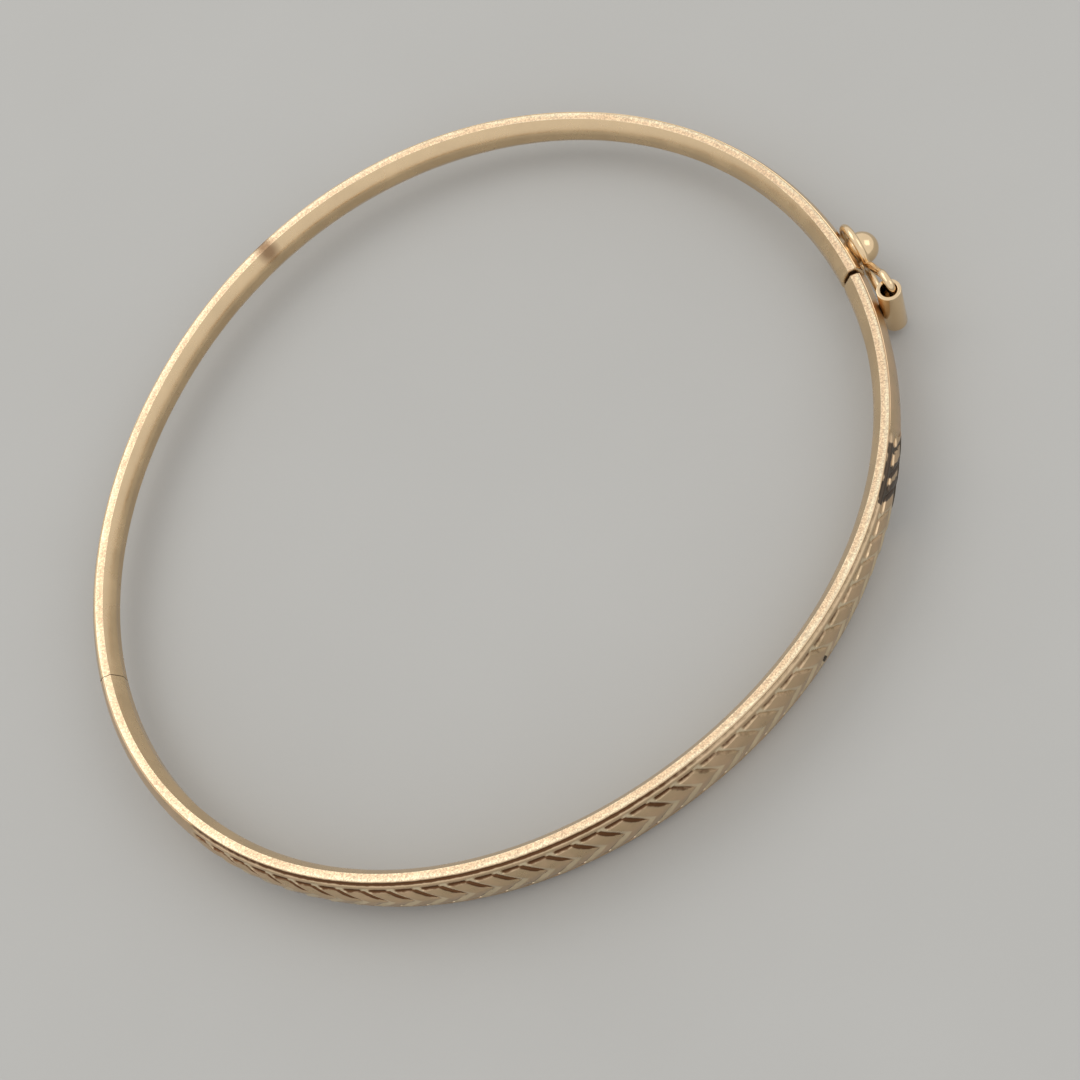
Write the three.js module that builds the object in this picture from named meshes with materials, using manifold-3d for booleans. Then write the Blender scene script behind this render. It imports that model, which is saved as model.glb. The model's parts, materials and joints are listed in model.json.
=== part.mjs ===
// Hollow hinged oval bangle with a figure-of-eight safety catch, closed and lying on its edge faces.
// Millimetres, +Z up. The clasp is on +X, the hinge on -X, the engraved front half on -Y.
// A place on the band is given by its arc angle, its depth (0 on the wrist side, growing
// outwards) and its height above or below the band's middle plane.
import * as THREE from 'three';
import { mergeVertices } from 'three/addons/utils/BufferGeometryUtils.js';
import Module from 'manifold-3d';

const wasm = await Module();
wasm.setup();

const DEG = Math.PI / 180;

// Oval of the wrist-side wall: 58 mm along its long axis, 50.5 mm across, front slightly flattened.
const OVAL_LONG = 28.99;
const OVAL_SHORT = 25.21;
const OVAL_TURN = 29.2 * DEG;
const FRONT_FLATTENING = 0.29;
const FLATTENING_TURN = 5.7 * DEG;

// Band section.
const END_HALF_HEIGHT = 1.345;
const FRONT_HALF_HEIGHT = 2.6;
const EDGE_IN = 0.6;
const EDGE_OUT = 1.2;
const CROWN = 0.5;
const SHOULDER_DROP = 1.0;
const SHOULDER_BEND = 1.3;
const SHEET = 0.3;
const LINER = 0.25;
const SEAM = 0.02;
const CREST = EDGE_OUT + CROWN;

// Ends of the two halves, in degrees of arc.
const CLASP_HALF_GAP = 0.3;
const HINGE_HALF_GAP = 0.05;

// Engraving on the front half: a line, a bead, then leaves that lean towards the clasp.
// The leaves shrink a little towards the narrow ends of the half.
const LEAF_FIRST = -25.7 * DEG;
const LEAF_COUNT = 37;
const LEAF_PITCH_FRONT = 1.8;
const LEAF_PITCH_END = 1.5;
const LEAF_LEAN = 1.43;
const LEAF_BORDER = 0.85;
const LINE_DROP = 0.12;
const LINE_DEPTH = 0.08;
const BEAD_DROP = 0.42;
const BEAD_RISE = 0.05;
const BORDER_DEPTH = 0.1;
const LEAF_PROFILE = [[0, -0.17], [0.16, 0.0], [0.72, 0.06]];

// Hinge: three lengths of tube on one pin, inside the thickness of the band.
const HINGE_DEPTH = 1.25;
const KNUCKLE_RADIUS = 0.32;
const KNUCKLE_BORE = 0.19;
const PIN_RADIUS = 0.16;
const KNUCKLE_SPLIT = 0.25;
const KNUCKLE_END = 0.7;
const KNUCKLE_GAP = 0.02;
const POCKET_RADIUS = 0.35;
const POCKET_END = 0.74;
const OPENING = 50;
const BEVEL = (OPENING / 2 + 1.5) * DEG;
const PLUG_LENGTH = 0.95;

// Tongue and end plates at the clasp.
const PLATE = 0.4;
const TONGUE_DEPTH = 0.68;
const TONGUE_LEAF = 0.15;
const TONGUE_SLIT = 0.1;
const TONGUE_HALF_HEIGHT = 0.38;
const TONGUE_REACH = 2.9;
const TONGUE_ROOT = 1.1;
const SLOT_CLEARANCE = 0.06;

// Safety catch.
const TUBE_RADIUS = 0.85;
const TUBE_BORE = 0.575;
const TUBE_LENGTH = 4.1;
const TUBE_LIFT = 0.25;
const TUBE_ANGLE = -5.7;
const TUBE_DEPTH = 2.5;
const BALL_RADIUS = 1.16;
const BALL_DEPTH = 2.45;
const BALL_ANGLE = 4.2;
const POST_RADIUS = 0.35;
const POST_START = 1.0;
const POST_END = 2.4;
const FIT = 0.03;
const WIRE_RADIUS = 0.28;
const WIRE_OUTWARDS = 0.19;
const WIRE_BACK = 0.1;
const LOOP_RADIUS = 1.7;
const LOOP_DEPTH = 2.03;
const LOOP_ANGLE = 4.4;

// The band's own centre seen from the middle of the whole object's footprint.
const CENTRE_X = -0.785;
const CENTRE_Y = -0.253;

const gold = {
  polished: { color: 0xd9b36a, roughness: 0.2 },
  satin: { color: 0xe6c592, roughness: 0.45 },
  brushed: { color: 0xcfa75e, roughness: 0.35 },
};

const bangle = new THREE.Group();
bangle.name = 'hinged_bangle';

// ---------- the oval ----------

function wallRadius(angle) {
  const turned = angle - OVAL_TURN;
  const across = OVAL_SHORT * Math.cos(turned);
  const along = OVAL_LONG * Math.sin(turned);
  const ellipse = (OVAL_LONG * OVAL_SHORT) / Math.hypot(across, along);
  return ellipse - FRONT_FLATTENING * Math.sin(3 * (angle + FLATTENING_TURN));
}

// Wall point, outward normal and direction of growing angle.
function wallFrame(angle) {
  const step = 1e-4;
  const r = wallRadius(angle);
  const slope = (wallRadius(angle + step) - wallRadius(angle - step)) / (2 * step);
  const c = Math.cos(angle);
  const s = Math.sin(angle);
  const along = new THREE.Vector3(slope * c - r * s, slope * s + r * c, 0).normalize();
  const out = new THREE.Vector3(along.y, -along.x, 0);
  return { point: new THREE.Vector3(r * c, r * s, 0), out, along };
}

function place(angle, depth, height) {
  const frame = wallFrame(angle);
  return frame.point.clone().addScaledVector(frame.out, depth).setZ(height);
}

// Arc length of the wall for one radian at this angle, on the outer face.
function arcPerRadian(angle) {
  const step = 1e-3;
  return place(angle + step, CREST, 0).distanceTo(place(angle - step, CREST, 0)) / (2 * step);
}

function halfHeight(angle) {
  const front = Math.max(0, -Math.sin(angle));
  return END_HALF_HEIGHT + (FRONT_HALF_HEIGHT - END_HALF_HEIGHT) * front;
}

function crownDepth(height, half) {
  return EDGE_OUT + CROWN * (1 - (height / half) ** 2);
}

// ---------- solids ----------

function toSolid(geometry) {
  const plain = geometry.clone();
  plain.deleteAttribute('normal');
  plain.deleteAttribute('uv');
  const merged = mergeVertices(plain, 1e-5);
  return new wasm.Manifold(new wasm.Mesh({
    numProp: 3,
    vertProperties: new Float32Array(merged.attributes.position.array),
    triVerts: new Uint32Array(merged.index.array),
  }));
}

function toGeometry(solid) {
  const mesh = solid.getMesh();
  const geometry = new THREE.BufferGeometry();
  geometry.setAttribute('position', new THREE.BufferAttribute(mesh.vertProperties, 3));
  geometry.setIndex(new THREE.BufferAttribute(mesh.triVerts, 1));
  return geometry;
}

// Skin through a row of closed outlines with the same number of points, capped at both ends.
function skin(outlines, flatOutline) {
  const count = flatOutline.length;
  const positions = [];
  const index = [];
  outlines.forEach((outline) => outline.forEach((p) => positions.push(p.x, p.y, p.z)));
  for (let row = 0; row + 1 < outlines.length; row += 1) {
    for (let i = 0; i < count; i += 1) {
      const next = (i + 1) % count;
      const a = row * count + i;
      const b = row * count + next;
      const c = a + count;
      const d = b + count;
      index.push(a, b, d, a, d, c);
    }
  }
  const shape = flatOutline.map(([depth, height]) => new THREE.Vector2(depth, height));
  const clockwise = THREE.ShapeUtils.area(shape) < 0;
  const outwards = ([a, b, c]) => (clockwise ? [a, c, b] : [a, b, c]);
  const cap = THREE.ShapeUtils.triangulateShape(shape, []).map(outwards);
  const last = (outlines.length - 1) * count;
  cap.forEach(([a, b, c]) => {
    index.push(a, c, b);
    index.push(last + a, last + b, last + c);
  });
  const geometry = new THREE.BufferGeometry();
  geometry.setAttribute('position', new THREE.Float32BufferAttribute(positions, 3));
  geometry.setIndex(index);
  return outward(geometry);
}

// Turns the faces of a closed geometry to point outwards.
function outward(geometry) {
  const p = geometry.attributes.position;
  const index = geometry.index.array;
  const corner = (k) => new THREE.Vector3().fromBufferAttribute(p, index[k]);
  let volume = 0;
  for (let k = 0; k < index.length; k += 3) {
    volume += corner(k).dot(corner(k + 1).cross(corner(k + 2)));
  }
  if (volume < 0) {
    for (let k = 0; k < index.length; k += 3) {
      [index[k + 1], index[k + 2]] = [index[k + 2], index[k + 1]];
    }
  }
  return geometry;
}

// Puts a part into the object's frame and adds it under its name.
function add(name, geometry, finish) {
  const placed = geometry.clone().translate(CENTRE_X, CENTRE_Y, FRONT_HALF_HEIGHT);
  const flat = placed.index ? placed.toNonIndexed() : placed;
  flat.computeVertexNormals();
  const material = new THREE.MeshStandardMaterial({ metalness: 1, ...gold[finish] });
  material.name = finish;
  const mesh = new THREE.Mesh(flat, material);
  mesh.name = name;
  bangle.add(mesh);
}

// Upright cylinder about a point of the plan.
function uprightCylinder(centre, radius, low, high, sides) {
  const geometry = new THREE.CylinderGeometry(radius, radius, high - low, sides);
  geometry.rotateX(Math.PI / 2);
  geometry.translate(centre.x, centre.y, (low + high) / 2);
  return geometry;
}

function uprightTube(centre, radius, bore, low, high, sides) {
  const outer = toSolid(uprightCylinder(centre, radius, low, high, sides));
  const hole = toSolid(uprightCylinder(centre, bore, low - 1, high + 1, sides));
  return outer.subtract(hole);
}

// ---------- shells ----------

function range(start, end, count) {
  return Array.from({ length: count + 1 }, (_, i) => start + ((end - start) * i) / count);
}

// Outline of a shell: out over the upper lip, down the convex face, back under the lower lip,
// then home along the hollow side. `leaf` is the engraving depth, null where the face is plain.
function shellOutline(degrees, leaf) {
  const angle = degrees * DEG;
  const engraved = leaf !== null;
  const half = halfHeight(angle);
  const upper = [];
  for (const rise of [0, 0.35, 0.7, 1]) {
    const depth = EDGE_IN * rise ** SHOULDER_BEND;
    const height = half - SHOULDER_DROP * (1 - rise);
    upper.push({ angle, depth, height });
  }
  const borderRows = [[0, 0], [LINE_DROP, -LINE_DEPTH], [BEAD_DROP, BEAD_RISE]];
  for (const [drop, relief] of borderRows) {
    const height = half - drop;
    const depth = crownDepth(height, half) + (engraved ? relief : 0);
    upper.push({ angle, depth, height });
  }
  for (const fraction of [1, 0.5, 0]) {
    const lean = engraved ? (LEAF_LEAN * (1 - fraction)) / arcPerRadian(angle) : 0;
    const there = angle + lean;
    const halfThere = halfHeight(there);
    const height = fraction * (halfThere - LEAF_BORDER);
    const relief = fraction === 1 ? Math.min(leaf, -BORDER_DEPTH) : leaf;
    const depth = crownDepth(height, halfThere) + (engraved ? relief : 0);
    upper.push({ angle: there, depth, height });
  }
  const hollow = [
    { angle, depth: CREST - SHEET, height: 0 },
    { angle, depth: EDGE_OUT - SHEET / 3, height: half - SHEET },
    { angle, depth: EDGE_IN + SHEET / 3, height: half - SHEET },
    { angle, depth: SHEET, height: half - SHOULDER_DROP },
  ];
  const flip = (v) => ({ ...v, height: -v.height });
  const outside = [...upper, ...upper.slice(0, -1).reverse().map(flip)];
  const inside = [...hollow.slice(1).reverse().map(flip), ...hollow];
  return [...outside, ...inside];
}

function shellSolid(stations) {
  const outlines = stations.map(({ degrees, leaf }) => shellOutline(degrees, leaf));
  const flat = outlines[0].map((v) => [v.depth, v.height]);
  const points = outlines.map((outline) => outline.map((v) => place(v.angle, v.depth, v.height)));
  return toSolid(skin(points, flat));
}

// Arc angles where the leaf cuts meet the border, stepped off along the band.
function leafRoots() {
  const roots = [LEAF_FIRST];
  while (roots.length <= LEAF_COUNT) {
    const angle = roots[roots.length - 1];
    const front = Math.max(0, -Math.sin(angle));
    const pitch = LEAF_PITCH_END + (LEAF_PITCH_FRONT - LEAF_PITCH_END) * front;
    const halfStep = pitch / arcPerRadian(angle) / 2;
    roots.push(angle - pitch / arcPerRadian(angle - halfStep));
  }
  return roots;
}

// Stations of the front shell: plain end, three per leaf, plain end.
function frontStations() {
  const stations = [];
  const roots = leafRoots();
  const last = roots[LEAF_COUNT] / DEG;
  range(-CLASP_HALF_GAP, LEAF_FIRST / DEG + 4, 6)
    .forEach((degrees) => stations.push({ degrees, leaf: null }));
  for (let n = 0; n < LEAF_COUNT; n += 1) {
    for (const [fraction, relief] of LEAF_PROFILE) {
      const angle = roots[n] + (roots[n + 1] - roots[n]) * fraction;
      stations.push({ degrees: angle / DEG, leaf: relief });
    }
  }
  stations.push({ degrees: last, leaf: LEAF_PROFILE[0][1] });
  range(last - 1, -180 + HINGE_HALF_GAP, 6).forEach((degrees) => stations.push({ degrees, leaf: null }));
  return stations;
}

function backStations() {
  const angles = range(CLASP_HALF_GAP, 180 - HINGE_HALF_GAP, 40);
  return angles.map((degrees) => ({ degrees, leaf: null }));
}

function linerSolid(start, end, count) {
  const points = range(start, end, count).map((degrees) => {
    const angle = degrees * DEG;
    const height = halfHeight(angle) - SHOULDER_DROP - SEAM;
    return [[0, -height], [0, height], [LINER, height], [LINER, -height]]
      .map(([depth, z]) => place(angle, depth, z));
  });
  return toSolid(skin(points, [[0, 0], [0, 1], [1, 1], [1, 0]]));
}

// ---------- end plates and plugs ----------

// Block that fills the hollow between two arc angles.
function plugSolid(start, end) {
  const outlineAt = (degrees) => {
    const half = halfHeight(degrees * DEG);
    const side = half - SHEET - FIT;
    const upper = [
      [LINER + FIT, half - SHOULDER_DROP - SEAM - FIT],
      [EDGE_IN + SHEET / 3, side],
      [EDGE_OUT - SHEET / 3 - FIT, side],
      [CREST - SHEET - FIT, 0],
    ];
    const lower = upper.slice(0, -1).reverse().map(([depth, height]) => [depth, -height]);
    return [...upper, ...lower];
  };
  const sections = range(start, end, 2).map((degrees) => (
    outlineAt(degrees).map(([depth, height]) => place(degrees * DEG, depth, height))
  ));
  return toSolid(skin(sections, outlineAt(start)));
}

function degreesFor(length, nearDegrees) {
  return length / (wallRadius(nearDegrees * DEG) + EDGE_IN) / DEG;
}

// ---------- hinge ----------

const hingeFrame = wallFrame(Math.PI);
const hingeAxis = place(Math.PI, HINGE_DEPTH, 0);

// Wedge outside the pin line on one side of the butt joint; side is +1 for the front half.
function bevelSolid(side) {
  const reach = 3;
  const wide = reach * Math.tan(BEVEL);
  const corners = [[0, 0], [reach, 0], [reach, wide * side]];
  const sections = [-4, 4].map((height) => corners.map(([outwards, sideways]) => (
    hingeAxis.clone()
      .addScaledVector(hingeFrame.out, outwards)
      .addScaledVector(hingeFrame.along, sideways)
      .setZ(height)
  )));
  return toSolid(skin(sections, corners));
}

const pocket = toSolid(uprightCylinder(hingeAxis, POCKET_RADIUS, -POCKET_END, POCKET_END, 24));

function trimmedForHinge(solid, side) {
  return solid.subtract(pocket).subtract(bevelSolid(side));
}

function knuckle(low, high) {
  return uprightTube(hingeAxis, KNUCKLE_RADIUS, KNUCKLE_BORE, low, high, 20);
}

// ---------- clasp ----------

// Strip swept about the hinge pin, given by radii and by distances along the plan from the gap.
function sweptStrip(inner, outer, from, to, halfHeightOfStrip) {
  const clasp = place(0, TONGUE_DEPTH, 0).sub(hingeAxis);
  const radius = clasp.length();
  const heading = Math.atan2(clasp.y, clasp.x);
  const at = (offset, distance) => {
    const turn = heading + distance / radius;
    const r = radius + offset;
    return [hingeAxis.x + r * Math.cos(turn), hingeAxis.y + r * Math.sin(turn)];
  };
  const distances = range(from, to, 6);
  const outline = [
    ...distances.map((d) => at(outer, d)),
    ...distances.reverse().map((d) => at(inner, d)),
  ];
  const shape = new THREE.Shape(outline.map(([x, y]) => new THREE.Vector2(x, y)));
  const geometry = new THREE.ExtrudeGeometry(shape, { depth: 2 * halfHeightOfStrip, bevelEnabled: false });
  geometry.translate(0, 0, -halfHeightOfStrip);
  return toSolid(geometry);
}

const tongueHalf = TONGUE_LEAF + TONGUE_SLIT / 2;
const tongueBlock = sweptStrip(-tongueHalf, tongueHalf, TONGUE_ROOT, -TONGUE_REACH, TONGUE_HALF_HEIGHT);
const tongueSlit = sweptStrip(
  -TONGUE_SLIT / 2, TONGUE_SLIT / 2, 2, -TONGUE_REACH + 0.3, TONGUE_HALF_HEIGHT + 1,
);
const slot = sweptStrip(
  -tongueHalf - SLOT_CLEARANCE,
  tongueHalf + SLOT_CLEARANCE,
  2,
  -TONGUE_REACH - 1,
  TONGUE_HALF_HEIGHT + SLOT_CLEARANCE,
);

// ---------- safety catch ----------

const tubeAxis = place(TUBE_ANGLE * DEG, TUBE_DEPTH, 0);
const tubeLow = TUBE_LIFT - TUBE_LENGTH / 2;
const tubeHigh = TUBE_LIFT + TUBE_LENGTH / 2;
const tubeSeat = toSolid(uprightCylinder(tubeAxis, TUBE_RADIUS + FIT, tubeLow - FIT, tubeHigh + FIT, 28));
const ballFrame = wallFrame(BALL_ANGLE * DEG);
const ballCentre = place(BALL_ANGLE * DEG, BALL_DEPTH, 0);

// Radial peg through the crown of the back shell at the stud.
function studCylinder(radius, from, to) {
  const geometry = new THREE.CylinderGeometry(radius, radius, to - from, 16);
  geometry.rotateZ(-Math.PI / 2);
  geometry.translate((from + to) / 2, 0, 0);
  geometry.rotateZ(Math.atan2(ballFrame.out.y, ballFrame.out.x));
  geometry.translate(ballFrame.point.x, ballFrame.point.y, 0);
  return geometry;
}

const peg = toSolid(studCylinder(POST_RADIUS, POST_START, POST_END));
const pegHole = toSolid(studCylinder(POST_RADIUS + FIT, POST_START - FIT, POST_END + FIT));

// Ball that sits on the crown of the band: its base is hollowed to the band's face.
function ballSolid() {
  const sphere = new THREE.SphereGeometry(BALL_RADIUS, 24, 16);
  const ball = toSolid(sphere.translate(ballCentre.x, ballCentre.y, 0));
  const heights = range(-1, 1, 12);
  const outlineAt = (degrees) => {
    const half = halfHeight(degrees * DEG);
    const face = heights.map((fraction) => [crownDepth(fraction * half, half) + FIT, fraction * half]);
    return [[0, -half], ...face, [0, half]];
  };
  const sections = range(BALL_ANGLE - 4, BALL_ANGLE + 4, 8).map((degrees) => (
    outlineAt(degrees).map(([depth, height]) => place(degrees * DEG, depth, height))
  ));
  return ball.subtract(toSolid(skin(sections, outlineAt(BALL_ANGLE)))).subtract(pegHole);
}

// Large loop: a ring standing round the ball. Small loop: up over the rim of the tube,
// down its bore and back under. They are joined where they meet beside the tube.
function catchWire() {
  const loopCentre = place(LOOP_ANGLE * DEG, LOOP_DEPTH, 0);
  const inTube = place(TUBE_ANGLE * DEG, TUBE_DEPTH + WIRE_OUTWARDS, 0);
  const towards = loopCentre.clone().sub(inTube);
  const span = Math.hypot(towards.x, towards.y);
  const heading = Math.atan2(towards.y, towards.x);
  const ring = new THREE.TorusGeometry(LOOP_RADIUS, WIRE_RADIUS, 8, 28);
  ring.rotateX(Math.PI / 2);
  ring.translate(span, 0, 0);

  const waist = span - LOOP_RADIUS;
  const side = (rim) => [
    [-WIRE_BACK, rim - 0.2],
    [0.1, rim + 0.29],
    [0.55, rim + 0.4],
    [1.1, rim + 0.36],
    [1.6, rim - 0.1],
    [waist - 0.5, 0.9],
    [waist - 0.04, 0.2],
  ];
  const upper = side(tubeHigh).map(([x, z]) => new THREE.Vector3(x, 0, z));
  const lower = side(-tubeLow).reverse().map(([x, z]) => new THREE.Vector3(x, 0, -z));
  const start = new THREE.Vector3(-WIRE_BACK, 0, 0);
  const path = new THREE.CatmullRomCurve3([start, ...upper, ...lower], true, 'centripetal');
  const link = new THREE.TubeGeometry(path, 48, WIRE_RADIUS, 8, true);
  const wire = toSolid(outward(mergeVertices(strip(link), 1e-5))).add(toSolid(ring));
  const geometry = toGeometry(wire);
  geometry.rotateZ(heading);
  geometry.translate(inTube.x, inTube.y, 0);
  return geometry;
}

function strip(geometry) {
  geometry.deleteAttribute('normal');
  geometry.deleteAttribute('uv');
  return geometry;
}

// ---------- assembly ----------

const plate = degreesFor(PLATE, 0);
const plug = degreesFor(PLUG_LENGTH, 180);
const frontPlate = plugSolid(-CLASP_HALF_GAP - plate, -CLASP_HALF_GAP - 0.02);
const backPlate = plugSolid(CLASP_HALF_GAP + 0.02, CLASP_HALF_GAP + plate);
const frontPlug = plugSolid(-180 + HINGE_HALF_GAP, -180 + HINGE_HALF_GAP + plug);
const backPlug = plugSolid(180 - HINGE_HALF_GAP - plug, 180 - HINGE_HALF_GAP);

add('front_shell', toGeometry(trimmedForHinge(shellSolid(frontStations()), 1).subtract(tubeSeat)), 'satin');
add('front_liner', toGeometry(linerSolid(-180 + HINGE_HALF_GAP, -CLASP_HALF_GAP, 40)), 'polished');
add('front_mouth_plate', toGeometry(frontPlate.subtract(slot)), 'brushed');
add('front_hinge_plate', toGeometry(trimmedForHinge(frontPlug, 1)), 'brushed');
const frontKnuckle = knuckle(-KNUCKLE_SPLIT + KNUCKLE_GAP, KNUCKLE_SPLIT - KNUCKLE_GAP);
add('front_knuckle', toGeometry(frontKnuckle), 'brushed');
const catchTube = uprightTube(tubeAxis, TUBE_RADIUS, TUBE_BORE, tubeLow, tubeHigh, 28);
add('catch_tube', toGeometry(catchTube), 'polished');

add('back_shell', toGeometry(trimmedForHinge(shellSolid(backStations()), -1).subtract(pegHole)), 'satin');
add('back_liner', toGeometry(linerSolid(CLASP_HALF_GAP, 180 - HINGE_HALF_GAP, 40)), 'polished');
add('back_end_plate', toGeometry(backPlate.subtract(slot)), 'brushed');
add('tongue', toGeometry(tongueBlock.subtract(tongueSlit)), 'brushed');
add('back_hinge_plate', toGeometry(trimmedForHinge(backPlug, -1)), 'brushed');
add('back_knuckle_upper', toGeometry(knuckle(KNUCKLE_SPLIT, KNUCKLE_END)), 'brushed');
add('back_knuckle_lower', toGeometry(knuckle(-KNUCKLE_END, -KNUCKLE_SPLIT)), 'brushed');
add('hinge_pin', uprightCylinder(hingeAxis, PIN_RADIUS, -KNUCKLE_END, KNUCKLE_END, 20), 'brushed');
add('stud_post', toGeometry(peg), 'brushed');
add('stud_ball', toGeometry(ballSolid()), 'polished');
add('catch_wire', catchWire(), 'polished');

export default bangle;
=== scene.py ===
"""Looks of a hollow hinged gold bangle with an engraved front half and a figure-of-eight safety catch.

Lengths of the bangle and the floor are in millimetres and are turned into metres by MM; the lights and
the camera's clip distances are in metres. A place on the band is an arc angle, a depth (0 on the wrist
side, growing outwards) and a height above the middle plane.
"""
import json
import math

import bmesh
import bpy
import numpy as np
from mathutils import Matrix, Vector


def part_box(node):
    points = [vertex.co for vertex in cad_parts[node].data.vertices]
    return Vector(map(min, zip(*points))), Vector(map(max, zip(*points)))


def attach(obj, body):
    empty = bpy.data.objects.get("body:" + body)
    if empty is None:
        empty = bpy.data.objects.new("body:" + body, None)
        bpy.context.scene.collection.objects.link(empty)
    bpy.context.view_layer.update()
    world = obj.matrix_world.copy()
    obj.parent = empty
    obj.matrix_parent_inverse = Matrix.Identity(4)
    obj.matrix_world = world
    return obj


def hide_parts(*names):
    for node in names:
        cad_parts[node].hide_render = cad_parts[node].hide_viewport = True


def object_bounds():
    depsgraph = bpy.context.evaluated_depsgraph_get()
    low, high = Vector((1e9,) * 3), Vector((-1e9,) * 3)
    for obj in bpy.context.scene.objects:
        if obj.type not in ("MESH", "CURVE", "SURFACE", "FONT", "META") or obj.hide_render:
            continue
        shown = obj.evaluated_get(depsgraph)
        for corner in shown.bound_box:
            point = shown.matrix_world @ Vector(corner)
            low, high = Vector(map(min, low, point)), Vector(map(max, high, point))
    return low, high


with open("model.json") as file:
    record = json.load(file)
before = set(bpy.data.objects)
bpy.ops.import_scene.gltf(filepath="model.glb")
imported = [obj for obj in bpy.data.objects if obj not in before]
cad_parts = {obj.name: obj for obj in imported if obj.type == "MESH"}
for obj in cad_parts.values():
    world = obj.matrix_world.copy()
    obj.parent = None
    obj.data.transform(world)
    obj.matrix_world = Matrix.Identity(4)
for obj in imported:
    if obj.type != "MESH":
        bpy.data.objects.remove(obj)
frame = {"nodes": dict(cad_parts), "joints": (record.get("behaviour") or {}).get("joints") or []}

CAD_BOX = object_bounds()
MM = 0.001
JOINTS = {joint["name"]: joint for joint in frame["joints"]}

# Oval of the wrist-side wall and section of the band, as in the CAD part.
OVAL_LONG = 28.99
OVAL_SHORT = 25.21
OVAL_TURN = math.radians(29.2)
FRONT_FLATTENING = 0.29
FLATTENING_TURN = math.radians(5.7)
END_HALF_HEIGHT = 1.345
FRONT_HALF_HEIGHT = 2.6
EDGE_IN = 0.6
EDGE_OUT = 1.2
CROWN = 0.5
CREST = EDGE_OUT + CROWN
SHOULDER_DROP = 1.0
SHOULDER_BEND = 1.3
SHEET = 0.3
LINER = 0.25
CLASP_HALF_GAP = 0.3
HINGE_HALF_GAP = 0.05
CORNER = 0.08
END_ROUNDING = 0.2

# Engraving: a line, a bead, a border of strokes, and leaves that lean towards the clasp.
LEAF_FIRST = math.radians(-25.7)
LEAF_COUNT = 37
LEAF_PITCH_FRONT = 1.8
LEAF_PITCH_END = 1.5
LEAF_LEAN = 1.43
LEAF_CREST = 0.06
LEAF_CREST_AT = 0.72
BORDER = 0.85
STROKE_HALF_WIDTH = 0.2
STROKE_DEPTH = 0.09
LINE_DROP = 0.14
LINE_HALF_WIDTH = 0.19
LINE_DEPTH = 0.07
BEAD_DROP = 0.42
BEAD_HALF_WIDTH = 0.17
BEAD_RISE = 0.05
CUT_DEPTH = 0.17
CUT_WALL = 0.1

# Hinge and catch, as in the CAD part.
HINGE_DEPTH = 1.25
KNUCKLE_BORE = 0.19
OPENING_HALF = math.radians(26.5)
POCKET_RADIUS = 0.35
POCKET_END = 0.74
TUBE_BORE = 0.575
TUBE_ANGLE = math.radians(-5.7)
TUBE_DEPTH = 2.5
BALL_ANGLE = math.radians(4.2)
BALL_DEPTH = 2.45
FIT = 0.03
TUBE_RIM_ROUNDING = 0.05
KNUCKLE_RIM_ROUNDING = 0.03
WIRE_RADIUS = 0.28
WIRE_OUTWARDS = 0.19
WIRE_BACK = 0.1
LOOP_ANGLE = math.radians(4.4)
LOOP_RADIUS = 1.7
LOOP_DEPTH = 2.03


# ---------------------------------------------------------------- the oval

def wall_radius(angle):
    turned = angle - OVAL_TURN
    ellipse = OVAL_LONG * OVAL_SHORT / np.hypot(OVAL_SHORT * np.cos(turned), OVAL_LONG * np.sin(turned))
    return ellipse - FRONT_FLATTENING * np.sin(3 * (angle + FLATTENING_TURN))


def wall_frame(angle):
    """Wall point, outward normal and direction of growing angle, about the band's own centre."""
    angle = np.asarray(angle, float)
    step = 1e-4
    r = wall_radius(angle)
    slope = (wall_radius(angle + step) - wall_radius(angle - step)) / (2 * step)
    c, s = np.cos(angle), np.sin(angle)
    along = np.stack([slope * c - r * s, slope * s + r * c], -1)
    along /= np.linalg.norm(along, axis=-1, keepdims=True)
    out = np.stack([along[..., 1], -along[..., 0]], -1)
    return np.stack([r * c, r * s], -1), out, along


def arc_per_radian(angle):
    """Length of the crest for one radian of arc angle."""
    step = 1e-3
    point, out, _ = wall_frame(np.stack([angle - step, angle + step]))
    crest = point + out * CREST
    return np.linalg.norm(crest[1] - crest[0], axis=-1) / (2 * step)


def half_height(angle):
    front = np.maximum(0, -np.sin(angle))
    return END_HALF_HEIGHT + (FRONT_HALF_HEIGHT - END_HALF_HEIGHT) * front


def crown_depth(height, half):
    return EDGE_OUT + CROWN * (1 - (height / half) ** 2)


HINGE = np.array(JOINTS["bangle_hinge"]["pos_m"])
CATCH = np.array(JOINTS["catch_swing"]["pos_m"])
_hinge_point, HINGE_OUT, HINGE_ALONG = wall_frame(math.pi)
CENTRE = HINGE - np.array([*(_hinge_point + HINGE_OUT * HINGE_DEPTH) * MM, 0.0])


def band_place(angle, depth, height):
    """Position in metres of places on the band."""
    angle, depth, height = np.broadcast_arrays(angle, depth, height)
    point, out, _ = wall_frame(angle)
    plan = point + out * depth[..., None]
    return np.concatenate([plan, height[..., None]], -1) * MM + CENTRE


# ---------------------------------------------------------------- camera

CAMERA_AIM = (1.35, -6.0)
CAMERA_DISTANCE = 168.0
CAMERA_ELEVATION = math.radians(60.83)
CAMERA_AZIMUTH = math.radians(-90.32)
CAMERA_ROLL = math.radians(-28.38)
CAMERA_LENS = 83.33


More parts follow.
